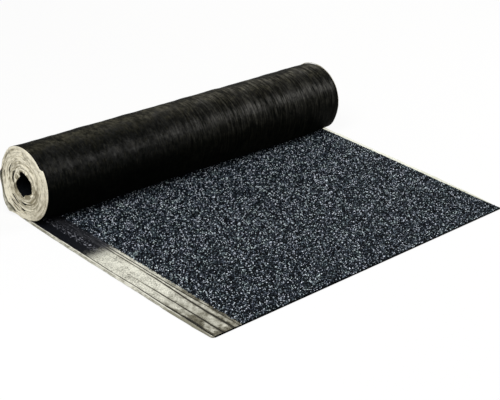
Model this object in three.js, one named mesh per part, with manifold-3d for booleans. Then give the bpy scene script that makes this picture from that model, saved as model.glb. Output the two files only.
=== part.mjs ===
// A roll of mineral-faced roofing felt, lying on its side with its outer end unrolled.
// Frame: X along the roll, the laid run towards -Y, Z up. The origin is on the ground under the
// middle of the whole piece.
import * as THREE from "three";
import { mergeVertices } from "three/addons/utils/BufferGeometryUtils.js";
import Module from "manifold-3d";

// Driving dimensions, in millimetres.
const sheetLength = 5000; // wound part and laid run together
const sheetWidth = 1000;
const sheetThickness = 5; // bitumen sheet with its mineral face
const mineralThickness = 1; // the chippings stand this far above the bare lap strip
const lapWidth = 77; // bare strip along the left edge, which the next sheet covers
const turnGap = 0.5; // air between one turn's mineral face and the next turn's film
const boreRadius = 31.5; // from the roll's axis to the inner end of the sheet
const laidLength = 670; // from under the roll's axis to the cut edge
const restWidth = 11; // the roll's weight presses it onto the laid run this far before its axis
const openEdge = 12; // depth to which the right-hand edges of the turns stand apart
const filmThickness = 0.6; // release film on the underside, where it stands free
const leftFilm = 9; // free film past the left edge, all along the sheet
const rightFilm = 16; // free film past the right edge of the laid run
const rightFilmTaper = 560; // length over which the right-hand film narrows to the cut corner
const facetsPerTurn = 36;

// The winding. One turn of the sheet takes up its thickness and the air on it, so the wound
// length fills a ring of area length x pitch between the first and the last turn's centre lines.
const pitch = sheetThickness + turnGap;
const innerCentre = boreRadius + sheetThickness / 2;
const woundLength = sheetLength - laidLength;
const outerCentre = Math.sqrt((woundLength * pitch) / Math.PI + innerCentre ** 2);
const outerRadius = outerCentre + sheetThickness / 2;
const turns = (outerCentre - innerCentre) / pitch;
const oneTurn = 2 * Math.PI;
const facet = oneTurn / facetsPerTurn;
const innerEnd = turns * oneTurn; // angle at which the sheet ends inside the bore
const restAngle = oneTurn - Math.asin(restWidth / (outerRadius - pitch));

// The sheet's film side is a spiral. Its angle grows from 0 under the axis, up the back, over
// the top and down the front, and its radius shrinks by one pitch a turn.
const spiralRadius = (angle) => outerRadius - (pitch * angle) / oneTurn;

// A point at a radius and angle round the roll's axis, as (y, z) with the ground at z = 0.
const around = (radius, angle) =>
  new THREE.Vector2(radius * Math.sin(angle), outerRadius - radius * Math.cos(angle));

// Angles from one to another, with those between them at whole facets.
function stations(from, to) {
  const angles = [from];
  for (let i = Math.floor(from / facet + 1e-6) + 1; i * facet < to - 1e-6; i++) angles.push(i * facet);
  return [...angles, to];
}

// Points along the spiral, offset inwards (negative) or outwards (positive) from its film side.
const spiral = (from, to, offset) =>
  stations(from, to).map((angle) => around(spiralRadius(angle) + offset, angle));

// The closed strip between two offsets of the spiral.
const spiralStrip = (from, to, inner, outer) => [
  ...spiral(from, to, outer),
  ...spiral(from, to, inner).reverse(),
];

// Where the first turn comes down onto the laid run.
const restLine = around(spiralRadius(restAngle), restAngle);

// Where the piece lies: the box of the whole piece is centred over the origin.
const backReach = Math.max(...spiral(0, oneTurn, 0).map((point) => point.x));
const axisY = (laidLength - backReach) / 2;
const cutEdgeY = axisY - laidLength;
const leftEdge = (leftFilm - rightFilm - sheetWidth) / 2;
const rightEdge = leftEdge + sheetWidth;

const wasm = await Module();
wasm.setup();

// A solid for the boolean operations, from a closed three.js geometry.
function solid(geometry) {
  geometry.deleteAttribute("normal");
  geometry.deleteAttribute("uv");
  const merged = mergeVertices(geometry);
  return new wasm.Manifold(
    new wasm.Mesh({
      numProp: 3,
      vertProperties: new Float32Array(merged.attributes.position.array),
      triVerts: new Uint32Array(merged.index.array),
    }),
  );
}

function geometryOf(manifold) {
  const mesh = manifold.getMesh();
  const geometry = new THREE.BufferGeometry();
  geometry.setAttribute("position", new THREE.BufferAttribute(new Float32Array(mesh.vertProperties), 3));
  geometry.setIndex(new THREE.BufferAttribute(new Uint32Array(mesh.triVerts), 1));
  return geometry;
}

// A section in (y, z) round the roll's axis, run along X from one place to another.
function alongRoll(outline, from, to, hole) {
  const shape = new THREE.Shape(outline);
  if (hole) shape.holes.push(new THREE.Path(hole));
  const geometry = new THREE.ExtrudeGeometry(shape, { depth: to - from, bevelEnabled: false });
  const turned = new THREE.Matrix4().makeBasis(
    new THREE.Vector3(0, 1, 0),
    new THREE.Vector3(0, 0, 1),
    new THREE.Vector3(1, 0, 0),
  );
  return solid(geometry.applyMatrix4(turned).translate(from, axisY, 0));
}

// A plan outline in (x, y) raised along Z from one height to another.
function raised(outline, from, to) {
  const geometry = new THREE.ExtrudeGeometry(new THREE.Shape(outline), {
    depth: to - from,
    bevelEnabled: false,
  });
  return solid(geometry.translate(0, 0, from));
}

const corner = (x, y) => new THREE.Vector2(x, y);

// The laid run and the winding as one section: under the roll the film side leaves the ground
// and follows the spiral for one turn, down to where it is pressed onto the laid run. The bore
// is the last turn's mineral side, with a step where the sheet ends.
function woundSheet() {
  const outline = [
    corner(-laidLength, 0),
    ...spiral(0, restAngle, 0),
    corner(restLine.x, sheetThickness),
    corner(-laidLength, sheetThickness),
  ];
  const bore = spiral(innerEnd - oneTurn, innerEnd, -sheetThickness);
  return alongRoll(outline, leftEdge, rightEdge, bore);
}

// The lap strip has no chippings, so the laid run is thinner there ...
function lapRecess() {
  const bare = sheetThickness - mineralThickness;
  const outline = [
    corner(leftEdge - leftFilm, cutEdgeY - leftFilm),
    corner(leftEdge + lapWidth, cutEdgeY - leftFilm),
    corner(leftEdge + lapWidth, axisY + restLine.x),
    corner(leftEdge - leftFilm, axisY + restLine.x),
  ];
  return raised(outline, bare, sheetThickness + turnGap / 2);
}

// ... and the turns stand further apart, as deep as the strip is wide. The last turn's own strip
// is thinner too, so this gap runs on for one turn past the sheet's inner end.
function leftGaps() {
  const gap = turnGap + mineralThickness;
  const strip = spiralStrip(oneTurn - facet, innerEnd + oneTurn, 0, gap);
  return alongRoll(strip, leftEdge - leftFilm, leftEdge + lapWidth);
}

// The mineral faces keep the turns close together at the right-hand end.
function rightGaps() {
  const strip = spiralStrip(oneTurn - facet, innerEnd + facet, 0, turnGap);
  return alongRoll(strip, rightEdge - openEdge, rightEdge + rightFilm);
}

// Free film past the left edge: along the laid run and round every turn.
function leftFilmEdge() {
  const strip = [
    corner(-laidLength, 0),
    ...spiral(0, innerEnd, 0),
    ...spiral(0, innerEnd, -filmThickness).reverse(),
    corner(-laidLength, filmThickness),
  ];
  return alongRoll(strip, leftEdge - leftFilm, leftEdge + filmThickness);
}

// The free film is rounded off at the cut corner.
function filmCorner() {
  const outer = leftEdge - leftFilm;
  const centre = corner(leftEdge, cutEdgeY + leftFilm);
  const arc = new THREE.Path().absarc(centre.x, centre.y, leftFilm, Math.PI, 1.5 * Math.PI);
  const outline = [
    corner(outer - 1, cutEdgeY - 1),
    corner(leftEdge, cutEdgeY - 1),
    ...arc.getPoints(8).reverse(),
    corner(outer - 1, centre.y),
  ];
  return raised(outline, -1, sheetThickness);
}

// Free film past the right edge of the laid run. It narrows to nothing at the cut corner, and is
// drawn in under the roll.
function rightFilmEdge() {
  const inside = rightEdge - filmThickness;
  const outline = [
    corner(inside, cutEdgeY),
    corner(rightEdge, cutEdgeY),
    corner(rightEdge + rightFilm, cutEdgeY + rightFilmTaper),
    corner(rightEdge + rightFilm, axisY - rightFilm),
    corner(rightEdge, axisY),
    corner(inside, axisY),
  ];
  return raised(outline, 0, filmThickness);
}

const felt = woundSheet()
  .subtract(lapRecess())
  .subtract(leftGaps())
  .subtract(rightGaps())
  .add(leftFilmEdge().subtract(filmCorner()))
  .add(rightFilmEdge());

const bitumen = new THREE.MeshStandardMaterial({ color: 0x17191d, roughness: 0.8, metalness: 0 });
const roofingFelt = new THREE.Mesh(geometryOf(felt), bitumen);
roofingFelt.name = "roofing_felt";

const group = new THREE.Group();
group.add(roofingFelt);

export default group;
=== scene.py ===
import math

import bpy
import numpy as np
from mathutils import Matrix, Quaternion, Vector


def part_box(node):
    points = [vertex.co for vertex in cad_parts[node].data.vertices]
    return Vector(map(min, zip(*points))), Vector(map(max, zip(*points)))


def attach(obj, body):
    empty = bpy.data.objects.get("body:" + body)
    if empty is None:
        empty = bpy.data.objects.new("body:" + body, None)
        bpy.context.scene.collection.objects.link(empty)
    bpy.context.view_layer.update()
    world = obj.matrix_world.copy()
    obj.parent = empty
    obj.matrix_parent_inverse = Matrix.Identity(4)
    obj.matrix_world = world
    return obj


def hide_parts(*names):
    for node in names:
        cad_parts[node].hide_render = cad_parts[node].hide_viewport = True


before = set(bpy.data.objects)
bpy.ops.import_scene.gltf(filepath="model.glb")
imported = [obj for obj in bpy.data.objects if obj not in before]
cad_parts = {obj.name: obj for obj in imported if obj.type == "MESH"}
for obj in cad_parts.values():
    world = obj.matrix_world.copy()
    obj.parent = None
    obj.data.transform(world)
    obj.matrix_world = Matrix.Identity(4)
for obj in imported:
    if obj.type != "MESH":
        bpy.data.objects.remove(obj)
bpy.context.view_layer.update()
print("frame loaded")

# Sizes of the sheet in metres, the same as the solid's.
sheet = {
    "length": 5.0,
    "thickness": 0.005,  # with the chippings
    "bare": 0.004,  # without them, along the lap strip
    "lap": 0.077,  # width of the lap strip on the left edge
    "turnGap": 0.0005,
    "boreRadius": 0.0315,
    "laid": 0.670,
    "leftFilm": 0.009,
    "rightFilm": 0.016,
    "strayWidth": 0.25,  # width beside the right edge that strays with it
    # How far the right edge strays outwards at distances from the cut edge.
    "rightStray": [
        (0, 0.0045), (0.08, 0.0023), (0.2, 0.0038), (0.38, 0.006), (0.6, 0.0068), (0.75, 0.003),
        (0.95, -0.001), (1.04, 0.002), (1.12, 0.005), (1.24, 0.0075), (1.4, 0.004), (5, 0.004),
    ],
}
low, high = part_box("roofing_felt")
leftEdge = low.x + sheet["leftFilm"]
rightEdge = high.x - sheet["rightFilm"]
lapEdge = leftEdge + sheet["lap"]
axisY = low.y + sheet["laid"]

# The winding: its area is the wound length times the pitch of the turns.
turn = 2 * math.pi
pitch = sheet["thickness"] + sheet["turnGap"]
innerCentre = sheet["boreRadius"] + sheet["thickness"] / 2
woundLength = sheet["length"] - sheet["laid"]
outerCentre = math.sqrt(woundLength * pitch / math.pi + innerCentre**2)
outerRadius = outerCentre + sheet["thickness"] / 2
innerEnd = (outerCentre - innerCentre) / pitch * turn


def noise(u, v, seed):
    # Smooth random values from -1 to 1: random numbers on a square lattice, eased between them.
    table = np.random.default_rng(seed).uniform(-1, 1, (256, 256))
    u, v = np.broadcast_arrays(np.asarray(u, float), np.asarray(v, float))
    i, j = np.floor(u).astype(int), np.floor(v).astype(int)
    a, b = u - i, v - j
    a, b = a * a * (3 - 2 * a), b * b * (3 - 2 * b)
    i, j, iNext, jNext = i % 256, j % 256, (i + 1) % 256, (j + 1) % 256
    near = table[i, j] * (1 - a) + table[iNext, j] * a
    far = table[i, jNext] * (1 - a) + table[iNext, jNext] * a
    return near * (1 - b) + far * b


def ease(x, start, end):
    # 0 before start, 1 after end, and a smooth step between.
    t = np.clip((x - start) / (end - start), 0, 1)
    return t * t * (3 - 2 * t)


def stretch(x, start, full, fading, end):
    # 0 before start, 1 from full to fading, and 0 after end.
    return ease(x, start, full) * (1 - ease(x, fading, end))


def bell(x, middle, width):
    # A bump of height 1 about the middle.
    return np.exp(-(((x - middle) / width) ** 2))


def along(place, points):
    # A value given at a few places, and straight between them.
    places, values = zip(*points)
    return np.interp(place, places, values)


def about(angle, middle, spread):
    # A bump of height 1 about a place on the winding, in degrees round the roll.
    return bell((np.degrees(angle) - middle + 180) % 360 - 180, 0, spread)


# Places where the inner turns have sprung towards the axis: after which turn, degrees round the
# roll, half the width in degrees, and how far.
sprungTurns = [(7, 118, 34, 0.0022), (7, 44, 30, 0.0014), (8, 355, 40, 0.0018)]


def sprung(angle):
    total = np.zeros_like(angle, float)
    for after, middle, spread, inwards in sprungTurns:
        inside = ease(angle / turn, after - 0.3, after + 0.1)
        total += inwards * about(angle, middle, spread) * inside
    return total


def strayed(run, across):
    # The right edge strays outwards and takes the nearest of the sheet's width with it.
    share = ease(across, rightEdge - sheet["strayWidth"], rightEdge)
    return across + along(run, sheet["rightStray"]) * share


def onRoll(angle, across, height):
    # A point on the winding. The angle grows from under the axis up the back, over the top and
    # down the front, and the radius shrinks by one pitch a turn. Height is measured from the
    # film side towards the axis.
    radius = outerRadius - pitch * angle / turn - sprung(angle) - height
    y = axisY + radius * np.sin(angle)
    z = outerRadius - radius * np.cos(angle)
    return np.stack(np.broadcast_arrays(strayed(runAt(angle), across), y, z), -1)


def angleAt(run):
    # The winding's angle at a distance from the cut edge, from the spiral's length.
    wound = np.clip(run - sheet["laid"], 0, None)
    inside = np.clip(outerRadius**2 - pitch * wound / math.pi, 0, None)
    return (outerRadius - np.sqrt(inside)) * turn / pitch


def runAt(angle):
    return sheet["laid"] + outerRadius * angle - pitch * angle**2 / (2 * turn)


def onSheet(run, across, height):
    # A point on the sheet by its distance from the cut edge: flat on the ground, then wound.
    run, across, height = np.broadcast_arrays(run, across, height)
    wound = onRoll(angleAt(run), across, height)
    laid = np.stack([strayed(run, across), low.y + run, height], -1)
    return np.where((run > sheet["laid"])[..., None], wound, laid)


def gridPlaces(start, end, counts):
    # The places of a grid's points: from start to end by rows, and from 0 to 1 by columns.
    rows = np.linspace(start, end, counts["rows"])[:, None]
    return rows, np.linspace(0, 1, counts["columns"])[None]


def gridFaces(rows, columns, loop=False):
    # Four-cornered faces of a grid of points. With loop its last column joins its first.
    index = np.arange(rows * columns).reshape(rows, columns)
    following = np.roll(index, -1, 1)
    if not loop:
        index, following = index[:, :-1], following[:, :-1]
    return np.stack([index[:-1], following[:-1], following[1:], index[1:]], -1).reshape(-1, 4)


def makePiece(name, finishes, points, faces, plan, shade=None, finishOf=None, caps=()):
    # A piece from whole arrays: points (n, 3), four-cornered faces (m, 4) and a few caps with many
    # corners. Plan is each point's place on the flat sheet, across and along, kept as a UV map.
    corners = np.concatenate([faces.ravel(), *caps]).astype(np.int32)
    counts = np.r_[np.full(len(faces), 4), [len(cap) for cap in caps]].astype(np.int32)
    mesh = bpy.data.meshes.new(name)
    mesh.vertices.add(len(points))
    mesh.vertices.foreach_set("co", points.astype(np.float32).ravel())
    mesh.loops.add(len(corners))
    mesh.loops.foreach_set("vertex_index", corners)
    mesh.polygons.add(len(counts))
    mesh.polygons.foreach_set("loop_start", (np.cumsum(counts) - counts).astype(np.int32))
    if finishOf is not None:
        mesh.polygons.foreach_set("material_index", finishOf.astype(np.int32))
    mesh.update(calc_edges=True)
    uv = plan[corners].astype(np.float32).ravel()
    mesh.uv_layers.new(name="sheetPlan").data.foreach_set("uv", uv)
    if shade is not None:
        values = mesh.attributes.new("shade", "FLOAT", "POINT").data
        values.foreach_set("value", shade.astype(np.float32).ravel())
    mesh.shade_smooth()
    for finish in finishes:
        mesh.materials.append(finish)
    piece = bpy.data.objects.new(name, mesh)
    bpy.context.scene.collection.objects.link(piece)
    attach(piece, "root")
    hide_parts("roofing_felt")
    print(name, "made")
    return piece


def sheetPlan(across, run):
    # Each point's place on the flat sheet: from left to right, and from the cut edge along it.
    return np.stack(np.broadcast_arrays(across, run), -1).reshape(-1, 2)


def loosePiece(name, finishes, points, plan, shade, turned=False, finishOf=None):
    # A piece of loose film from a grid of points, with two sides, so that it is a closed shape.
    # Turned swaps the sides of its faces.
    faces = gridFaces(*points.shape[:2])
    faces = faces[:, ::-1] if turned else faces
    points = points.reshape(-1, 3)
    piece = makePiece(name, finishes, points, faces, plan, shade, finishOf)
    wall = piece.modifiers.new("wall", "SOLIDIFY")
    wall.thickness = looseFilm["thickness"]
    wall.offset = 0


class Wire:
    # A value flowing between a material's nodes. Sums and products of wires add Math nodes.
    def __init__(self, tree, socket=None):
        self.tree, self.socket = tree, socket

    def node(self, kind, settings, inputs, output=0):
        # A node: its settings, then the values or wires of its sockets.
        made = self.tree.nodes.new("ShaderNode" + kind)
        for name, value in settings.items():
            if name == "stops":
                stops = made.color_ramp.elements
                while len(stops) < len(value):
                    stops.new(0.5)
                for stop, (place, colour) in zip(stops, value):
                    stop.position, stop.color = place, (*colour, 1)
            else:
                setattr(made, name, value)
        for name, value in inputs.items():
            socket = made.inputs[name]
            if isinstance(value, Wire):
                self.tree.links.new(value.socket, socket)
            elif socket.type == "RGBA":
                socket.default_value = (*value, 1)
            else:
                socket.default_value = value
        return Wire(self.tree, made.outputs[output] if made.outputs else None)

    def math(self, operation, *values):
        return self.node("Math", {"operation": operation}, dict(enumerate(values)))

    def __add__(self, other):
        return self.math("ADD", self, other)

    def __mul__(self, other):
        return self.math("MULTIPLY", self, other)

    def __sub__(self, other):
        return self.math("SUBTRACT", self, other)

    def __rsub__(self, other):
        return self.math("SUBTRACT", other, self)

    def __abs__(self):
        return self.math("ABSOLUTE", self)

    def part(self, axis):
        # The x, y or z of a place: axis 0, 1 or 2.
        return self.node("SeparateXYZ", {}, {0: self}, axis)

    def between(self, start, end):
        # 0 at start and 1 at end, eased between.
        inputs = {"Value": self, "From Min": start, "From Max": end}
        return self.node("MapRange", {"interpolation_type": "SMOOTHSTEP"}, inputs)

    def mix(self, first, second):
        # The first colour where this is 0 and the second where it is 1.
        return self.node("Mix", {"data_type": "RGBA"}, {0: self, 6: first, 7: second}, 2)

    def tinted(self, tint):
        # The product of two colours.
        settings = {"data_type": "RGBA", "blend_type": "MULTIPLY"}
        return self.node("Mix", settings, {0: 1.0, 6: self, 7: tint}, 2)

    def clouds(self, scale, detail=4, roughness=0.55):
        inputs = {"Vector": self, "Scale": scale, "Detail": detail, "Roughness": roughness}
        return self.node("TexNoise", {}, inputs)

    def stretched(self, across, along):
        return self.node("Mapping", {}, {"Vector": self, "Scale": (across, along, 1)})

    def bump(self, strength, distance):
        return self.node("Bump", {}, {"Strength": strength, "Distance": distance, "Height": self})


def emptied(holder):
    # The first wire of a material's or world's emptied nodes.
    holder.use_nodes = True
    holder.node_tree.nodes.clear()
    return Wire(holder.node_tree)


def planWire(start):
    # The place on the flat sheet.
    return start.node("UVMap", {"uv_map": "sheetPlan"}, {})


def placeWire(start):
    # The place in the frame.
    return start.node("TexCoord", {}, {}, 3)


def shadeWire(start):
    # The number that each point of a piece carries: a chipping's grey, or how pale a film is.
    return start.node("Attribute", {"attribute_name": "shade"}, {}, 2)


def coat(wire, colour, roughness, normal, specular=0.5, coatWeight=0.0, coatRoughness=0.03):
    # The surface itself. Its gloss is the clear coat's weight.
    inputs = {
        "Base Color": colour,
        "Roughness": roughness,
        "Normal": normal,
        "Specular IOR Level": specular,
        "Coat Weight": coatWeight,
        "Coat Roughness": coatRoughness,
    }
    shader = wire.node("BsdfPrincipled", {}, inputs)
    wire.node("OutputMaterial", {}, {"Surface": shader})


rollLook = {
    # Distances from the cut edge along the sheet. The top of the roll is at 0.967.
    # Middle of the band over the top of the roll: brown dust with a painted highlight band in it.
    "marked": 0.973,
    "rubbed": 0.950,
    "behind": 0.90,
    "upperFront": 1.03,
    # Between these places across the sheet the mottled film becomes the brushed one.
    "brushedFrom": (-0.25, 0.15),
    "black": (0.0006, 0.0009, 0.0007),
    # The dust's colour, which also carries the painted highlight and sheen on the roll.
    "dustAndSheen": (0.057, 0.053, 0.035),
}


def blackFilm():
    # Film over bitumen: black, with a faint brown dust over the top of the roll that also carries a
    # painted highlight band, a painted sheen on the upper front, and a gloss that is mottled on the
    # left and brushed into streaks round the roll on the right.
    made = bpy.data.materials.new("black_film")
    plan = planWire(emptied(made))
    across, run = plan.part(0), plan.part(1)
    streaks = plan.stretched(190, 17).clouds(1, 5, 0.65)
    mottle = plan.stretched(120, 70).clouds(1, 6, 0.75)
    broad = plan.clouds(14, 3)
    brushed = across.between(*rollLook["brushedFrom"])
    smooth = mottle * 0.7 + 0.15
    pattern = smooth + (streaks - smooth) * (brushed * 0.85 + 0.1) + (broad - 0.5) * 0.3
    # Bands along the roll, with ragged edges: 1 in the middle of each and 0 outside it.
    drift = broad * 0.13 + mottle * 0.11 + streaks * brushed * 0.06 - 0.120
    fingers = plan.stretched(110, 12).clouds(1, 4, 0.7)
    ragged = drift * 0.4 + fingers * 0.10 - 0.05
    # The band over the top carries brown dust and a painted highlight band.
    marked = 1 - abs(run + drift - rollLook["marked"] - brushed * 0.030).between(0.008, 0.038)
    upper = run + ragged - rollLook["upperFront"] - brushed * 0.012
    upper = 1 - abs(upper).between(0.03, 0.085)
    rubbed = 1 - abs(run - rollLook["rubbed"]).between(0.010, 0.045)
    behind = 1 - abs(run + drift - rollLook["behind"]).between(0.03, 0.09)
    # The dust and painted sheen lie in patches, with short dashes of painted highlight on the
    # upper front.
    patches = plan.stretched(64, 48).clouds(1, 5, 0.75).between(0.38, 0.62)
    highlightDashes = plan.stretched(230, 50).clouds(1, 3, 0.7).between(0.50, 0.66)
    # Dust over the top, with a painted highlight band in it, and behind it; on the right a painted
    # sheen along the upper front.
    dustAndSheen = marked * 0.71 + behind * 0.12 + brushed * (upper * 0.10 + 0.04) + 0.015
    dustAndSheen = pattern.between(0.33, 0.71) * (patches * 1.3 + 0.38) * dustAndSheen
    dustAndSheen = dustAndSheen + highlightDashes * (upper * 0.12 + 0.015)
    colour = dustAndSheen.mix(rollLook["black"], rollLook["dustAndSheen"])
    # The gloss is strongest on the upper front and weak where the top is rubbed.
    gloss = (pattern.between(0.37, 0.71) * 0.245 + 0.008) * (upper * 0.8 + 0.2)
    gloss = gloss * (patches * 0.7 + 0.65)
    gloss = gloss * (1 - rubbed * (0.75 - brushed * 0.75))
    relief = streaks * 0.5 + mottle * 0.5
    coat(
        plan, colour, 0.5, relief.bump(0.3, 0.0008), specular=0.006,
        coatWeight=gloss, coatRoughness=0.31,
    )
    return made


bedLook = {"pits": (0.001, 0.0014, 0.002), "grit": (0.008, 0.010, 0.013)}


def mineralBed():
    # Fine dark grit between the chippings.
    made = bpy.data.materials.new("mineral_bed")
    place = placeWire(emptied(made))
    grains = place.node("TexVoronoi", {}, {"Vector": place, "Scale": 520})
    fine = place.clouds(900, 3)
    colour = (1 - grains).between(0.35, 1.0).mix(bedLook["pits"], bedLook["grit"])
    height = (1 - grains) * 0.8 + fine * 0.3
    coat(place, colour, 0.8, height.bump(0.8, 0.001), specular=0.05)
    return made


outerSheet = {
    "laidStep": 0.010,
    "turnStep": 0.006,
    "filmColumns": 190,
    "mineralColumns": 40,
    "edgeRound": 0.0008,
    "bed": 0.0039,  # height of the bitumen that holds the chippings
    "rolledBed": 0.0048,  # the same with the chippings, between the turns
    "bedRises": (0.648, 0.662),
    "overlap": 0.35,  # angle past the first turn at which the inner turns take over
    "swell": 0.0007,
    "ridge": 0.0008,
    "pucker": 0.0004,
    "sunk": 0.0006,
    "settled": 0.0010,  # the back of the top has settled a little
    "settledAt": (163, 30),  # degrees round the roll, and half the width in degrees
    "wrinkled": (0.3, 1.2, turn - 0.3, turn),  # the angles of the wrinkled stretch
    "sagging": (0.3, 1.2, turn - 0.25, turn + 0.25),  # and of the stretch that can sag
    "sagsAt": (320, 24),
    # The front of the turn hangs loose above the ground, by places across the sheet.
    "slack": [
        (-0.5035, 0.0016), (-0.46, 0.0045), (-0.40, 0.0102), (-0.3, 0.0082), (-0.1, 0.0095),
        (0.12, 0.0105), (0.25, 0.0118), (0.37, 0.0132), (0.44, 0.0115), (0.4965, 0.0085),
    ],
}


def wrinkles(run, across):
    # The outer turn's film side swells and puckers in ridges that run round the roll.
    angle = angleAt(run)
    strength = stretch(angle, *outerSheet["wrinkled"])
    swell = outerSheet["swell"] * noise(across / 0.17, angle * 0.6, 11)
    ridge = outerSheet["ridge"] * noise(across / 0.034, angle * 0.8, 12)
    pucker = outerSheet["pucker"] * noise(across / 0.016, angle * 1.7, 13)
    top = about(angle, *outerSheet["settledAt"]) * ease(across, leftEdge, leftEdge + 0.1)
    sunk = outerSheet["sunk"] + outerSheet["settled"] * top
    return strength * (swell + ridge + pucker - sunk)


def slack(run, across):
    # How far the outer turn has sagged outwards, both of its sides alike.
    angle = angleAt(run)
    strength = stretch(angle, *outerSheet["sagging"]) * about(angle, *outerSheet["sagsAt"])
    return strength * along(across, outerSheet["slack"])


def sheetPiece(name, run, size, wrinkled):
    # The sheet's section carried along its length: the film side from left to right, then the
    # mineral side back, with rounded edges and both cut ends closed.
    edge, filmColumns = outerSheet["edgeRound"], size["filmColumns"]
    inside = np.linspace(leftEdge + edge, rightEdge - edge, filmColumns - 2)
    film = np.r_[leftEdge, inside, rightEdge]
    inside = np.linspace(leftEdge + edge, rightEdge - edge, size["mineralColumns"] - 4)
    inside = np.sort(np.r_[inside, lapEdge - edge, lapEdge + edge])
    mineral = np.r_[rightEdge, inside[::-1], leftEdge]
    run = run[:, None]
    under = np.where((film == leftEdge) | (film == rightEdge), edge, 0.0) + 0 * run
    if wrinkled:
        under = under - wrinkles(run, film)
    rise = outerSheet["rolledBed"] - outerSheet["bed"]
    bed = outerSheet["bed"] + rise * ease(run, *outerSheet["bedRises"])
    above = sheet["bare"] + (bed - sheet["bare"]) * ease(mineral, lapEdge - edge, lapEdge + edge)
    above = above - np.where((mineral == leftEdge) | (mineral == rightEdge), edge, 0)
    across = np.r_[film, mineral]
    height = np.c_[under, above]
    if wrinkled:
        height = height - slack(run, across)
    points = onSheet(run, across, height)
    rows, columns = points.shape[:2]
    faces = gridFaces(rows, columns, loop=True)[:, ::-1]
    column = np.tile(np.arange(columns), rows - 1)
    isMineral = (column >= filmColumns) & (column < columns - 1)
    lastRow = np.arange((rows - 1) * columns, rows * columns)
    caps = [np.arange(columns), lastRow[::-1]]
    finishOf = np.r_[isMineral, [0, 0]]
    makePiece(
        name, [felt["film"], felt["bed"]], points.reshape(-1, 3), faces,
        sheetPlan(across, run), finishOf=finishOf, caps=caps,
    )


felt = {"film": blackFilm(), "bed": mineralBed()}
lastOuter = runAt(turn + outerSheet["overlap"])
laidRun = np.arange(0, sheet["laid"], outerSheet["laidStep"])
turnRun = np.arange(sheet["laid"], lastOuter, outerSheet["turnStep"])
outerRun = np.r_[laidRun, turnRun, lastOuter]
sheetPiece("outer_sheet", outerRun, outerSheet, wrinkled=True)

innerTurns = {"step": 0.008, "filmColumns": 12, "mineralColumns": 16}
innerRun = np.r_[np.arange(lastOuter, sheet["length"], innerTurns["step"]), sheet["length"]]
sheetPiece("inner_turns", innerRun, innerTurns, wrinkled=False)


slate = {
    "apart": 0.0032,  # spacing of the chippings
    "radius": (0.0010, 0.0022),
    "thickness": (0.0008, 0.0015),
    "corners": (0.75, 1.2),  # distances of a flake's corners, as shares of its radius
    "longer": 0.3,  # how much longer than wide it is
    "drawnIn": (0.62, 0.88),  # size of its upper face as a share of the lower one
    "tilt": 0.24,  # typical slope of its face
    "proud": 0.00070,  # middle of a flake above the bed
    "uneven": 0.00025,  # how much that height differs
    "overLap": (0.0015, 0.0017),  # reach over the lap strip, at the cut edge and at the roll
    "ragged": 0.0012,  # how far that edge strays, and how far single flakes stray from it
    "scattered": 0.0008,
    "margins": (0.0008, 0.0006),  # from a flake's middle to the right edge and to the cut edge
    "stopsBefore": 0.026,  # distance from the roll's axis
    "least": 0.001,  # height of a flake's lowest corner
    "pieces": ("slate_left", "slate_mid_left", "slate_mid_right", "slate_right"),
    # Colours from the darkest flakes to the palest, and the two hints that tint them.
    "greys": [
        (0.0, (0.0004, 0.0009, 0.0018)), (0.42, (0.0040, 0.0065, 0.0102)),
        (0.64, (0.031, 0.041, 0.055)), (0.84, (0.150, 0.188, 0.223)), (1.0, (0.82, 0.90, 0.95)),
    ],
    "hints": [(0.94, 1.035, 0.95), (1.02, 0.985, 1.06)],
}


def slateFinish():
    # Each chipping has its own grey, mostly dark, a few pale, with a hint of green or violet.
    made = bpy.data.materials.new("slate_chippings")
    start = emptied(made)
    place, shade = placeWire(start), shadeWire(start)
    mottle = place.clouds(650, 2)
    hint = (place.clouds(38, 3, 0.7) + shade * 0.1).between(0.33, 0.73)
    grey = shade + mottle * 0.16 - 0.08
    colour = shade.node("ValToRGB", {"stops": slate["greys"]}, {0: grey})
    colour = colour.tinted(hint.mix(*slate["hints"]))
    coat(shade, colour, 0.5, mottle.bump(0.4, 0.0004), specular=0.05)
    return made


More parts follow.
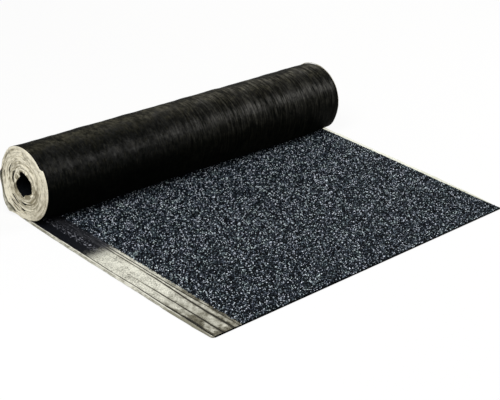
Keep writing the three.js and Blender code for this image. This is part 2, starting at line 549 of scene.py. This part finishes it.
def chippings():
    # Flakes on a jittered grid. A flake is a four-cornered frustum: corners at random distances
    # about its middle, the top ring drawn in, and both rings tilted the same way.
    random = np.random.default_rng(5)
    apart = slate["apart"]
    cutLeft, rollLeft = (lapEdge - over for over in slate["overLap"])
    x = np.arange(rollLeft - 0.004, rightEdge - 0.0012, apart)
    y = np.arange(low.y + 0.0014, axisY - slate["stopsBefore"], apart)
    x, y = (grid.ravel() for grid in np.meshgrid(x, y))
    x = x + random.uniform(-0.5, 0.5, x.shape) * apart
    y = y + random.uniform(-0.5, 0.5, y.shape) * apart
    left = cutLeft + (rollLeft - cutLeft) * (y - low.y) / sheet["laid"]
    left = left + slate["ragged"] * noise(y / 0.011, 0, 21)
    left = left + random.normal(0, slate["scattered"], y.shape)
    atRight, atCut = slate["margins"]
    kept = (x > left) & (x < rightEdge - atRight) & (y > low.y + atCut)
    x, y = x[kept], y[kept]
    count = len(x)
    size = random.uniform(*slate["radius"], count)
    yaw = random.uniform(0, turn, count)
    spread = yaw[:, None] + np.arange(4) * turn / 4 + random.uniform(-0.4, 0.4, (count, 4))
    reach = size[:, None] * random.uniform(*slate["corners"], (count, 4))
    longer = 1 + slate["longer"] * np.cos(spread - yaw[:, None]) ** 2
    dx, dy = reach * longer * np.cos(spread), reach * np.sin(spread)
    slopeX, slopeY = random.normal(0, slate["tilt"], (2, count, 1))
    middle = outerSheet["bed"] + slate["proud"] + random.normal(0, slate["uneven"], (count, 1))
    half = random.uniform(*slate["thickness"], (count, 1)) / 2
    rings = []
    for drawn, side in ((1.0, -1.6), (random.uniform(*slate["drawnIn"], (count, 1)), 1.0)):
        ringX, ringY = dx * drawn, dy * drawn
        z = middle + ringX * slopeX + ringY * slopeY + side * half
        rings.append(np.stack([x[:, None] + ringX, y[:, None] + ringY, z], -1))
    points = np.concatenate(rings, 1)
    points[..., 1] = np.clip(points[..., 1], low.y, None)
    inside = np.clip(points[..., 0], None, rightEdge)
    points[..., 0] = strayed(points[..., 1] - low.y, inside)
    points[..., 2] = np.clip(points[..., 2], slate["least"], None)
    return points, random.uniform(0, 1, count)


def slatePieces():
    points, grey = chippings()
    finish = slateFinish()
    side = np.arange(4)
    following = np.roll(side, -1)
    one = np.r_[[side + 4], np.stack([side, following, following + 4, side + 4], -1)]
    order = np.argsort(points[:, 0, 0], kind="stable")
    for name, chosen in zip(slate["pieces"], np.array_split(order, len(slate["pieces"]))):
        flakes = points[chosen]
        count = len(flakes)
        faces = (one[None] + 8 * np.arange(count)[:, None, None]).reshape(-1, 4)
        shade = np.repeat(grey[chosen], 8)
        plan = flakes[..., :2].reshape(-1, 2) - [0, low.y]
        piece = makePiece(
            name, [finish], flakes.reshape(-1, 3), faces, plan, shade=shade
        )
        piece.data.shade_flat()
        # Each flake has its own cell of the OFBake map.
        cells = math.ceil(math.sqrt(count))
        ring = np.array([[0.06, 0.06], [0.94, 0.06], [0.94, 0.94], [0.06, 0.94]])
        corner = np.r_[ring, (ring - 0.5) * 0.62 + 0.5]
        cell = np.stack([np.arange(count) % cells, np.arange(count) // cells], -1)
        uv = ((cell[:, None] + corner) / cells).reshape(-1, 2)[faces.ravel()]
        piece.data.uv_layers.new(name="OFBake").data.foreach_set("uv", uv.astype(np.float32).ravel())


slatePieces()


lapFilm = {
    "rows": 200,
    "columns": 130,
    "lift": 0.00015,  # above the bitumen
    "puff": 0.0009,  # rise of the film between two creases
    "creased": 0.0035,  # half width of the hollow along a crease
    "past": 0.0008,  # reach under the chippings
    "reflectsRoll": 0.234,  # distance from the roll's axis of the painted reflection of the roll
    "flattens": (0.26, 0.21),  # the distances between which its arches flatten to a quarter
    "flatBeside": 0.006,  # width beside the chippings over which they die away
    "rollSide": 0.02,  # the film ends this far before the roll's axis
    # Each crease: its half width, and its distance from the sheet's left edge and its darkness at
    # distances from the cut edge. The film's free edge begins at the first.
    "creases": [
        {
            "width": 0.0019,
            "path": [
                (0, -0.0042), (0.04, -0.0039), (0.075, -0.0028), (0.1, -0.0021), (0.15, -0.0026),
                (0.2, -0.0018), (0.25, 0), (0.35, -0.0013), (0.4, 0.0004), (0.66, 0.0022),
            ],
            "dark": [
                (0, 1.1), (0.04, 1.5), (0.075, 3.0), (0.13, 2.6), (0.19, 1.0), (0.4, 0.75),
                (0.66, 0.5),
            ],
        },
        {
            "width": 0.0017,
            "path": [(0, 0.0236), (0.22, 0.0238), (0.45, 0.0205)],
            "dark": [
                (0, 1.25), (0.04, 1.0), (0.08, 0.65), (0.14, 0.5), (0.2, 0.52), (0.27, 0.3),
                (0.31, 0.15), (0.5, 0.1),
            ],
        },
        {
            "width": 0.0021,
            "path": [(0, 0.0542), (0.075, 0.0525), (0.14, 0.0535), (0.25, 0.0585), (0.66, 0.0595)],
            "dark": [
                (0, 1.05), (0.05, 0.95), (0.1, 0.75), (0.15, 0.6), (0.2, 0.66), (0.3, 0.45),
                (0.45, 0.5), (0.66, 0.4),
            ],
        },
        {
            "width": 0.0014,
            "path": [
                (0, 0.0705), (0.1, 0.069), (0.15, 0.0665), (0.22, 0.0655), (0.3, 0.0667),
                (0.66, 0.0675),
            ],
            "dark": [(0, 0.3), (0.12, 0.4), (0.17, 0.8), (0.44, 0.75), (0.66, 0.3)],
        },
    ],
    # Rubbed patches: distance from the left edge and from the cut edge, half sizes, darkness.
    "stains": [
        (-0.0014, 0.074, 0.0040, 0.030, 1.9), (0.010, 0.072, 0.015, 0.028, 0.35),
        (0.074, 0.080, 0.006, 0.028, 0.42), (0.073, 0.300, 0.006, 0.050, 0.22),
        (0.072, 0.190, 0.007, 0.085, 0.30), (0.026, 0.150, 0.009, 0.030, 0.2),
        (0.004, 0.130, 0.006, 0.080, 0.1), (0.034, 0.310, 0.005, 0.012, 0.25),
    ],
    # How dull the film is at distances from the cut edge.
    "dulled": [
        (0, 0.42), (0.04, 0.37), (0.1, 0.31), (0.15, 0.27), (0.2, 0.14), (0.3, 0.02), (0.4, 0),
    ],
    # Colours: the film away from the roll, from its hollows to its crests, rubbed, and in a crease;
    # and near the roll, the black of the painted reflection of the roll, its painted glints and its
    # faint stripes.
    "hollow": (0.11, 0.106, 0.08),
    "crest": (0.80, 0.795, 0.69),
    "rubbed": (0.105, 0.096, 0.062),
    "inCrease": (0.0060, 0.0055, 0.0030),
    "bitumen": (0.0066, 0.0072, 0.0094),
    "glint": (0.74, 0.76, 0.86),
    "stripe": (0.26, 0.265, 0.29),
    "glintsFrom": 0.020,  # distance from the left edge at which the glints begin
    "stripesAt": 0.064,  # distance from the left edge of the middle of the stripes
}


def creaseLine(run, number):
    # Where a crease runs, by the distance from the cut edge.
    path = lapFilm["creases"][number]["path"]
    return leftEdge + along(run, path) + 0.0003 * noise(run / 0.012, number, 43)


def lapFilmFinish():
    # Near the roll the film shows black, a painted reflection of the roll, with a few painted
    # glints, and with faint grey stripes beside the chippings. Further from the roll it looks
    # silvery. The shade darkens creases and rubbed patches.
    made = bpy.data.materials.new("lap_film")
    start = emptied(made)
    plan, shade = planWire(start), shadeWire(start)
    across, run = plan.part(0), plan.part(1)
    clouds = plan.clouds(32, 5, 0.65)
    fine = plan.clouds(190, 4, 0.75)
    specks = plan.clouds(400, 2)
    brushed = plan.stretched(420, 80).clouds(1, 4, 0.75)
    reflectionStart = sheet["laid"] - lapFilm["reflectsRoll"]
    # Where the film shows the painted reflection of the black roll, with a ragged edge.
    rollReflection = run + fine * 0.05 + clouds * 0.05 + brushed * 0.06
    rollReflection = rollReflection.between(reflectionStart + 0.042, reflectionStart + 0.096)
    silver = (clouds * 0.3 + fine * 0.5 + specks * 0.4).between(0.45, 0.67)
    silver = silver.mix(lapFilm["hollow"], lapFilm["crest"])
    marked = (shade + (fine + specks - 1.0) * shade * (1 - shade) * 2.4).between(0.0, 1.0)
    silver = marked.between(0.0, 0.6).mix(silver, lapFilm["rubbed"])
    silver = marked.between(0.35, 1.0).mix(silver, lapFilm["inCrease"])
    # The painted glints lie in the middle of the strip, fewer of them towards the chippings.
    first = leftEdge + lapFilm["glintsFrom"]
    fewer = 1.3 - across.between(first + 0.020, first + 0.030) * 0.5
    flecks = plan.stretched(300, 120).clouds(1, 3, 0.6)
    flecks = flecks + across.between(first, first + 0.012) * fewer * 0.10
    # Painted glints: pale flecks in the base colour.
    glint = (flecks - shade * 0.16).between(0.67, 0.76) * 0.38
    dark = glint.mix(lapFilm["bitumen"], lapFilm["glint"])
    # The stripes drift towards the left edge and fade on the way to the roll.
    nearRoll = run.between(reflectionStart + 0.02, reflectionStart + 0.14)
    aside = across + nearRoll * 0.006 - (leftEdge + lapFilm["stripesAt"])
    striped = 1 - abs(aside).between(0.005, 0.015)
    striped = striped * (0.20 - nearRoll * 0.11)
    stripes = plan.stretched(300, 24).clouds(1, 3, 0.7).between(0.42, 0.60)
    dark = (stripes * striped).mix(dark, lapFilm["stripe"])
    colour = rollReflection.mix(silver, dark)
    relief = fine + specks * 0.5 + brushed * 0.4
    coat(plan, colour, 0.45 - rollReflection * 0.1, relief.bump(0.5, 0.0007), specular=0.08)
    return made


def lapFilmPiece():
    # A grid over the lap strip. Its height is the bitumen's, plus an arch between each two
    # creases, plus crumples, and it flattens near the roll.
    run, v = gridPlaces(0, sheet["laid"] - lapFilm["rollSide"], lapFilm)
    first = creaseLine(run, 0)
    across = first + (lapEdge + lapFilm["past"] - first) * v
    arch, shade = np.ones_like(across), np.zeros_like(across)
    for number, crease in enumerate(lapFilm["creases"]):
        line = creaseLine(run, number)
        depth = along(run, crease["dark"]) * (1 + 0.25 * noise(run / 0.01, number, 44))
        arch = arch * (1 - bell(across, line, lapFilm["creased"]) * np.clip(depth, 0, 1))
        # A dark line with a faint wider one about it.
        shade = np.maximum(shade, 1.5 * depth * bell(across, line, crease["width"]))
        shade = np.maximum(shade, 0.2 * depth * bell(across, line, 2.6 * crease["width"]))
    smear = 0.5 * noise(run / 0.02, across / 0.012, 45)
    smear = smear + 0.4 * noise(run / 0.006, across / 0.006, 46)
    for place, distance, wide, long, darkness in lapFilm["stains"]:
        stain = bell(across, leftEdge + place, wide) * bell(run, distance, long)
        shade = np.maximum(shade, darkness * stain * (1 + 0.35 * smear))
    shade = shade + along(run, lapFilm["dulled"]) * (1 + 0.7 * smear)
    start, end = (sheet["laid"] - distance for distance in lapFilm["flattens"])
    loosened = 1 - ease(run, start, end) * 0.75
    swell = 0.7 + 0.5 * noise(run / 0.05, across / 0.02, 41)
    swell = swell + 0.3 * noise(run / 0.013, across / 0.009, 42)
    arch = arch * (1 - ease(across, lapEdge - lapFilm["flatBeside"], lapEdge))
    height = sheet["bare"] + lapFilm["lift"] + lapFilm["puff"] * arch * swell * loosened
    points = onSheet(run, across, height)
    makePiece(
        "lap_film", [lapFilmFinish()], points.reshape(-1, 3),
        gridFaces(*points.shape[:2]), sheetPlan(across, run), shade=np.clip(shade, 0, 1),
    )


lapFilmPiece()


def creamFilm(name, colours, rough):
    # Loose film, milky and crumpled, with strokes along it, pleats across it and thin fold lines.
    # The shade darkens it: painted shade in hollows.
    made = bpy.data.materials.new(name)
    start = emptied(made)
    plan, place, shade = planWire(start), placeWire(start), shadeWire(start)
    strokes = plan.stretched(500, 90).clouds(1, 3, 0.6)
    pleats = plan.stretched(110, 400).clouds(1, 4, 0.7)
    clouds = place.clouds(95)
    folds = abs(place.clouds(110, 2, 0.5) - 0.5).between(0.0, 0.12)
    pale = shade * 0.8 + clouds * 0.55 + strokes * 0.3 + pleats * 0.4 - 0.6
    colour = pale.between(0.06, 0.78).mix(*colours)
    relief = folds * 0.3 + strokes * 0.5 + pleats * 0.7 + clouds * 0.6
    coat(place, colour, rough, relief.bump(0.75, 0.0011))
    return made


looseFilm = {
    "thickness": 0.0002,
    "ground": 0.0003,  # height of its middle where it lies on the ground
    "rollSide": 0.004,  # the free edges end this far before the roll's axis
    # Colours of its hollows, where the shade is painted, and of its palest parts.
    "end": [(0.21, 0.18, 0.105), (0.83, 0.78, 0.618)],
    "edge": [(0.20, 0.19, 0.135), (0.78, 0.77, 0.665)],
    "pale": [(0.57, 0.575, 0.44), (0.85, 0.86, 0.75)],
}
endFinish = creamFilm("end_film", looseFilm["end"], 0.5)
edgeFinish = creamFilm("edge_film", looseFilm["edge"], 0.45)
paleFinish = creamFilm("pale_film", looseFilm["pale"], 0.45)


leftStrip = {
    "rows": 240,
    "columns": 16,
    "corner": 0.008,
    "tuck": 0.0007,
    # Width on the ground at distances from the cut edge.
    "width": [
        (0, 0.0066), (0.03, 0.0082), (0.06, 0.0102), (0.16, 0.0102), (0.24, 0.0088),
        (0.35, 0.0082), (0.45, 0.0080), (0.55, 0.0058), (0.62, 0.0035), (0.67, 0.0015),
    ],
    # Paler and darker lengths: how much, the distance from the cut edge, and half the length.
    "tones": [(-0.2, 0.56, 0.09), (0.18, 0.39, 0.045), (-0.14, 0.30, 0.03)],
    "rubbed": (0.068, 0.062),  # the rubbed length: its distance and half of it
}


def leftStripPiece():
    # The film's free edge beside the lap strip hangs from the sheet's upper edge to the ground in
    # a puffed curve, wider and narrower along its length, and is rounded at the near corner.
    run, v = gridPlaces(0, sheet["laid"] - looseFilm["rollSide"], leftStrip)
    wave = 0.94 + 0.06 * noise(run / 0.045, 0, 51) + 0.06 * noise(run / 0.014, 0, 52)
    corner = np.sqrt(1 - (1 - np.clip(run / leftStrip["corner"], 0, 1)) ** 2)
    width = along(run, leftStrip["width"]) * wave * (0.1 + 0.9 * corner)
    inner = creaseLine(run, 0) - leftStrip["tuck"]
    across = inner + (leftEdge - width - inner) * v
    drop = np.sqrt(np.clip(1 - v**2.4, 0, 1))
    fold = noise(run / 0.03, v * 1.5, 53) + 0.7 * noise(run / 0.009, v * 3, 55)
    puff = np.sin(math.pi * v) * (0.0007 + 0.0007 * fold) + 0.0008 * bell(v, 0.16, 0.12)
    height = looseFilm["ground"] + sheet["bare"] * drop * (1 - 0.25 * v) + puff
    # It is pale along its crest, darker at the ground near the cut edge, along a wavy line and
    # next to the crease, and darkest where it is rubbed.
    far = ease(run, 0.13, 0.21)
    rubbed = bell(run, *leftStrip["rubbed"])
    line = 0.55 + 0.12 * noise(run / 0.06, 0, 56)
    shade = 0.42 + 0.05 * far + 0.3 * fold + 0.45 * bell(v, 0.22, 0.18)
    shade = shade - 0.3 * ease(v, 0.45, 0.9) * (1 - far) - (0.2 - 0.08 * far) * bell(v, line, 0.05)
    for amount, distance, long in leftStrip["tones"]:
        shade = shade + amount * bell(run, distance, long)
    shade = shade - 0.8 * bell(v, 0, 0.08 + 0.12 * rubbed)
    shade = shade - (0.42 + 0.6 * bell(v, 0.1, 0.2)) * rubbed
    loosePiece(
        "left_edge_film", [edgeFinish], onSheet(run, across, height), sheetPlan(across, run),
        np.clip(shade, 0, 1), turned=True,
    )


leftStripPiece()


rightStrip = {
    "rows": 160,
    "columns": 10,
    "tuck": 0.002,
    "wave": 0.0012,  # greatest rise of its waves
    # Width on the ground at distances from the cut edge.
    "width": [
        (0.006, 0.0012), (0.03, 0.0066), (0.07, 0.0108), (0.14, 0.0140), (0.22, 0.0158),
        (0.67, 0.0165),
    ],
}


def rightStripPiece():
    # The film under the sheet looks out beyond the right edge, tapering to nothing at the far
    # corner. It lies on the ground with small waves.
    start = rightStrip["width"][0][0]
    run, v = gridPlaces(start, sheet["laid"] - looseFilm["rollSide"], rightStrip)
    width = along(run, rightStrip["width"]) * (0.96 + 0.06 * noise(run / 0.04, 0, 61))
    across = rightEdge - rightStrip["tuck"] + (rightStrip["tuck"] + width) * v
    wave = 0.5 + 0.5 * noise(run / 0.022, v * 1.6, 62)
    wave = rightStrip["wave"] * wave * np.minimum(width / 0.01, 1)
    height = looseFilm["ground"] + wave * ease(v, 0.1, 0.6)
    shade = 0.35 + 0.6 * ease(run, 0.05, 0.45) + 0.25 * noise(run / 0.02, v * 2, 63)
    loosePiece(
        "right_edge_film", [paleFinish], onSheet(run, across, height), sheetPlan(across, run), shade
    )


rightStripPiece()


rollEnd = {
    "rows": 2300,
    "columns": 16,
    "straightShare": 1 / 3,
    "tuck": 0.0006,
    "straight": 0.0014,  # film that stands straight out before it curls
    "straightOnTop": 0.0022,  # more of it, about the top of the turns within
    "lift": 0.0038,  # more of it, at the lower back of the second to fourth turns
    "curl": 0.0094,  # film that curls towards the axis
    "bend": 2.0,  # radians by which it has turned at its free edge
    "innerBend": 1.55,  # the same for the innermost film
    "bends": (-0.0015, 0.0065),  # where it bends, from and to, past its straight part
    "crumple": 0.5,
    "outwards": (-0.008, 0.0135),  # least and most that it stands out past the left edge
    "reach": (0.0008, 0.030),  # least and most that the innermost film reaches over the bore
    # Film that stands straight out along the outermost turn, by degrees round the roll.
    "rim": [
        (0, 0.001), (14, 0.0015), (18, 0.0032), (24, 0.0075), (32, 0.0098), (40, 0.0104),
        (48, 0.0086), (55, 0.0062), (62, 0.0036), (70, 0.0018), (78, 0.0009), (90, 0.0003),
        (122, 0.0005), (142, 0.0062), (226, 0.0066), (233, 0.0006), (360, 0.0003),
    ],
    # Distance from the axis at which the innermost film ends, by degrees round the roll.
    "hole": [
        (0, 0.036), (10, 0.0395), (23, 0.0425), (47, 0.0385), (72, 0.0330), (93, 0.0280),
        (135, 0.0235), (160, 0.0295), (196, 0.0300), (227, 0.0290), (264, 0.0298),
        (292, 0.0337), (326, 0.0297), (350, 0.0300), (360, 0.036),
    ],
    # Stretches of the outermost turn's film, by degrees round the roll: where it stands uncurled,
    # where the gap behind that has a painted shadow, and where it is black.
    "standing": (12, 38, 62, 112),
    "gap": (12, 38, 90, 125),
    "blackTop": (138, 148, 225, 231),
    "liftedAt": (40, 30),  # degrees round the roll and half the width in degrees
    "smoothAt": (285, 85),
    "smoothFrom": (0.050, 0.068),  # distances from the axis between which smooth film begins
    "outer": (0.074, 0.088),  # and the outer turns begin
    "slit": (0.0035, 0.0032),  # a slit lies this far within its turn and has this half width
    # Where the film falls short and the sheet's black edge shows: distance from the axis, degrees
    # round the roll and half the width in degrees.
    "slits": [
        (0.0618, 117, 12), (0.0475, 104, 22), (0.0650, 43, 8), (0.0630, 27, 8),
        (0.0530, 358, 10), (0.0710, 1, 7), (0.0855, 305, 12),
    ],
    # Painted light and shade: paler over the top and the lower back, darker at the lower front and
    # the upper back. Each: how much, degrees round the roll, half the width in degrees, and the
    # distances from the axis between which each grows to its full strength. Then painted shade in the
    # hollow about the bore: how much darker it gets towards the axis, and between which distances.
    "tones": [
        (0.07, 185, 60, (0, 0.01)), (-0.22, 300, 48, (0, 0.01)),
        (-0.20, 105, 36, (0.066, 0.078)), (0.14, 30, 60, (0.070, 0.080)),
    ],
    "shadeTowardsAxis": [(0.2, (0.050, 0.075)), (0.16, (0.036, 0.048))],
}


def endShade(angle, run, v, passed, calm, outermost, innermost, standing):
    # How pale the film is: uneven, palest in the middle of its width as a painted highlight where it
    # bends, dark at its root as painted shade, grey with painted shade where it stands along the
    # outermost turn, and with a painted shadow in the gap behind it.
    degrees = np.degrees(angle) % 360
    filmRadius = outerRadius - pitch * angle / turn
    # Uneven tone, with a painted highlight about the middle of its width where it bends.
    shade = 0.34 * noise(run / 0.04, v * 2.6, 36) + 0.28 * noise(run / 0.009, v * 5, 38)
    shade = 0.58 + shade * (1 - 0.6 * calm) + 0.2 * bell(v, 0.45, 0.2)
    # Painted glints on the innermost film, and painted shade where it reaches into the bore.
    shade = shade + innermost * ease(noise(run / 0.006, v * 3, 39), 0.2, 0.5)
    shade = shade - innermost * (0.6 * ease(v, 0.72, 1) + 0.3 * about(angle, 75, 70))
    # Painted light and shade by degrees round the roll, and painted shade towards the axis.
    for amount, middle, spread, radii in rollEnd["tones"]:
        shade = shade + amount * about(angle, middle, spread) * ease(filmRadius, *radii)
    for amount, radii in rollEnd["shadeTowardsAxis"]:
        shade = shade - amount * (1 - ease(filmRadius, *radii))
    # Painted shade at the root and on the standing film, and a painted shadow in the gap.
    root = (1 - ease(v, 0, 0.2)) * (1 - standing)
    gap = outermost * stretch(degrees, *rollEnd["gap"]) * (1 - ease(passed, 0.0030, 0.0052))
    return np.clip(shade - 0.5 * root - 0.44 * standing - 0.7 * gap, 0, 1)


def leftEndFilm():
    # The film stands out along the edge of every turn. Across its width its heading turns from
    # straight out towards the axis, crumpled by noise, and its steps are summed to give its place.
    angle, v = gridPlaces(0.02, innerEnd, rollEnd)
    run = runAt(angle)
    degrees = np.degrees(angle) % 360
    filmRadius = outerRadius - pitch * angle / turn
    outermost = 1 - ease(angle, turn - 0.1, turn)
    innermost = ease(angle, innerEnd - turn - 0.1, innerEnd - turn + 0.1)
    straight = rollEnd["straight"] * (1 + 0.8 * noise(run / 0.035, 0, 37))
    straight = straight + rollEnd["straightOnTop"] * (1 - outermost) * bell(degrees, 185, 50)
    straight = straight + outermost * (along(degrees, rollEnd["rim"]) - straight)
    curl = rollEnd["curl"] * (1 + 0.2 * noise(run / 0.04, 0, 31) + 0.12 * noise(run / 0.012, 0, 32))
    bend = rollEnd["bend"] * (1 + 0.15 * noise(run / 0.03, 0, 33))
    # The innermost film reaches over the bore.
    reach = (filmRadius - along(degrees, rollEnd["hole"])) * 1.12
    curl = curl + innermost * (np.clip(reach, *rollEnd["reach"]) - curl)
    bend = bend + innermost * (rollEnd["innerBend"] - bend)
    # It falls short at the slits.
    short = 0
    within, half = rollEnd["slit"]
    for radius, middle, spread in rollEnd["slits"]:
        short = short + about(angle, middle, spread) * bell(filmRadius, radius + within, half)
    curl = curl * (1 - 0.65 * np.clip(short, 0, 1))
    # It stands without a curl along the lower back of the outermost turn.
    standing = outermost * stretch(degrees, *rollEnd["standing"])
    top = outermost * stretch(degrees, *rollEnd["blackTop"])
    # The next turns' film stands out further there too, before it bends in.
    lifted = about(angle, *rollEnd["liftedAt"]) * (1 - ease(angle, 2 * turn, 4.5 * turn))
    straight = straight + rollEnd["lift"] * (1 - outermost) * lifted
    # Elsewhere the outer turns' film is longer and lies flatter over the turns within.
    outer = ease(filmRadius, *rollEnd["outer"]) * (1 - ease(angle, turn, turn + 0.3))
    curl, bend = curl * (1 + 0.6 * outer), bend * (1 - 0.12 * outer)
    bend, curl = bend * (1 - standing), curl * (1 - 0.85 * standing)
    # The first columns of points lie on the straight part, the others on the curl.
    share = rollEnd["straightShare"]
    passed = straight * np.minimum(v / share, 1) + curl * np.maximum(v - share, 0) / (1 - share)
    start, end = rollEnd["bends"]
    heading = bend * ease(passed, straight + start, straight + end - 0.003 * top)
    loose = ease(passed, straight * top, straight * top + 0.002) * (1 - 0.6 * standing)
    # The front of the outer turns is smoother.
    calm = ease(filmRadius, *rollEnd["smoothFrom"]) * about(angle, *rollEnd["smoothAt"])
    loose = rollEnd["crumple"] * loose * (1 - 0.5 * innermost) * (1 - 0.5 * calm)
    heading = heading + 0.95 * loose * noise(run / 0.027, v * 2.6, 34) - 0.2 * standing
    heading = heading + 0.7 * loose * noise(run / 0.010, v * 3.5, 35)
    step = np.diff(passed, axis=1, prepend=0)
    outward = np.cumsum(np.cos(heading) * step, 1) - rollEnd["tuck"]
    inward = np.cumsum(np.sin(heading) * step, 1)
    across = leftEdge - np.clip(outward, *rollEnd["outwards"])
    sagged = wrinkles(run, leftEdge) + slack(run, leftEdge)
    points = onRoll(angle, across, inward - looseFilm["thickness"] - sagged)
    points[..., 2] = np.clip(points[..., 2], looseFilm["ground"], None)
    shade = endShade(angle, run, v, passed, calm, outermost, innermost, standing)
    # Along the top, under the black film's edge, it is black too. Where it stands it is as grey as
    # the laid sheet's free edge.
    black = ((top > 0.5) & (v < share + 0.01))[:-1, 1:].ravel()
    grey = ((standing > 0.4) & (v >= 0))[:-1, 1:].ravel()
    loosePiece(
        "left_end_film", [endFinish, felt["film"], edgeFinish], points, sheetPlan(across, run),
        shade, finishOf=black + 2 * grey,
    )


leftEndFilm()


rightEnd = {"rows": 900, "columns": 8, "free": 0.0042, "bend": 2.0, "tuck": 0.0004}


def rightEndFilm():
    # On the other end only a narrow edge of the film shows, folded down over each turn.
    angle, v = gridPlaces(0.3, innerEnd, rightEnd)
    run = runAt(angle)
    free = rightEnd["free"] * (0.7 + 0.5 * noise(run / 0.05, 0, 71) + 0.2 * noise(run / 0.012, 0, 72))
    heading = rightEnd["bend"] * ease(v, -0.4, 0.6) + 0.4 * noise(run / 0.007, v * 2, 73)
    step = np.clip(free, 0.0006, None) / (rightEnd["columns"] - 1)
    outward = np.cumsum(np.cos(heading) * step, 1) - rightEnd["tuck"]
    inward = np.cumsum(np.sin(heading) * step, 1)
    across = rightEdge + outward + looseFilm["thickness"]
    points = onRoll(angle, across, inward - looseFilm["thickness"] - slack(run, rightEdge))
    shade = 0.6 + 0.3 * noise(run / 0.008, v * 3, 74)
    loosePiece(
        "right_end_film", [endFinish], points, sheetPlan(across, run), shade, turned=True
    )


rightEndFilm()


studio = {
    "floorHalf": 30,
    "floorColour": (0.92, 0.92, 0.92),
    "floorGlow": 0.88,  # share of the floor that is plain white to the camera
    "ambient": 0.38,
    # Each lamp: name, power, size, colour, place and aim.
    "lamps": [
        ("softLamp", 50, 1.5, (1, 1, 1), (-1.8, -0.5, 2.5), (0, 0, 0)),
        ("frontLamp", 57, 1.75, (1, 0.98, 0.94), (2.4, -1.55, 2.0), (0.1, 0.3, 0.15)),
        ("backLamp", 8, 1.2, (1, 0.95, 0.86), (1.8, 1.8, 1.35), (0.1, 0.3, 0.15)),
    ],
}


def floorPiece():
    # A level square. To the camera it is mostly plain white, and keeps a faint shadow.
    half = studio["floorHalf"]
    mesh = bpy.data.meshes.new("floor")
    corners = [(-half, -half, 0), (half, -half, 0), (half, half, 0), (-half, half, 0)]
    mesh.from_pydata(corners, [], [(0, 1, 2, 3)])
    made = bpy.data.materials.new("pale_floor")
    start = emptied(made)
    toCamera = start.node("LightPath", {}, {}) * studio["floorGlow"]
    diffuse = start.node("BsdfDiffuse", {}, {"Color": studio["floorColour"]})
    white = start.node("Emission", {}, {"Color": (1, 1, 1), "Strength": 1.0})
    surface = start.node("MixShader", {}, {0: toCamera, 1: diffuse, 2: white})
    start.node("OutputMaterial", {}, {"Surface": surface})
    mesh.materials.append(made)
    floor = bpy.data.objects.new("floor", mesh)
    bpy.context.scene.collection.objects.link(floor)


def aimed(name, data, place, ahead, roll=0):
    # A lamp or a camera at its place, looking ahead.
    made = bpy.data.objects.new(name, data)
    made.location = place
    made.rotation_mode = "QUATERNION"
    made.rotation_quaternion = ahead.to_track_quat("-Z", "Y") @ Quaternion((0, 0, 1), roll)
    bpy.context.scene.collection.objects.link(made)
    return made


def lights():
    # The world is white to the camera and in reflections, and dimmer as a light.
    world = bpy.data.worlds.new("studio")
    bpy.context.scene.world = world
    start = emptied(world)
    camera = start.node("LightPath", {}, {})
    white = camera.math("MAXIMUM", camera, start.node("LightPath", {}, {}, 3))
    plain = start.node("Background", {}, {"Color": (1, 1, 1), "Strength": studio["ambient"]})
    shown = start.node("Background", {}, {"Color": (1, 1, 1), "Strength": 1.0})
    surface = start.node("MixShader", {}, {0: white, 1: plain, 2: shown})
    start.node("OutputWorld", {}, {"Surface": surface})
    for name, power, size, colour, place, aim in studio["lamps"]:
        data = bpy.data.lights.new(name, "AREA")
        data.energy, data.color = power, colour
        data.shape, data.size = "DISK", size
        aimed(name, data, place, Vector(aim) - Vector(place))


floorPiece()
lights()
print("floor and lights set")


cameraSetup = {
    "azimuth": 46.21,  # degrees from +Y towards +X in which the camera looks
    "elevation": 25.99,
    "roll": 4.38,
    "target": (0.012, 0.042, 0.0),
    "distance": 3.353,
    "lens": 95.25,
    "sensor": 36,
}


def placeCamera():
    # The camera stands back from its target, against its own heading.
    azimuth = math.radians(cameraSetup["azimuth"])
    elevation = math.radians(cameraSetup["elevation"])
    flat = math.cos(elevation)
    ahead = Vector((math.sin(azimuth) * flat, math.cos(azimuth) * flat, -math.sin(elevation)))
    data = bpy.data.cameras.new("camera")
    data.lens, data.sensor_width = cameraSetup["lens"], cameraSetup["sensor"]
    place = Vector(cameraSetup["target"]) - ahead * cameraSetup["distance"]
    roll = math.radians(cameraSetup["roll"])
    bpy.context.scene.camera = aimed("camera", data, place, ahead, roll)


placeCamera()
bpy.context.scene.view_settings.view_transform = "Standard"
print("camera placed")
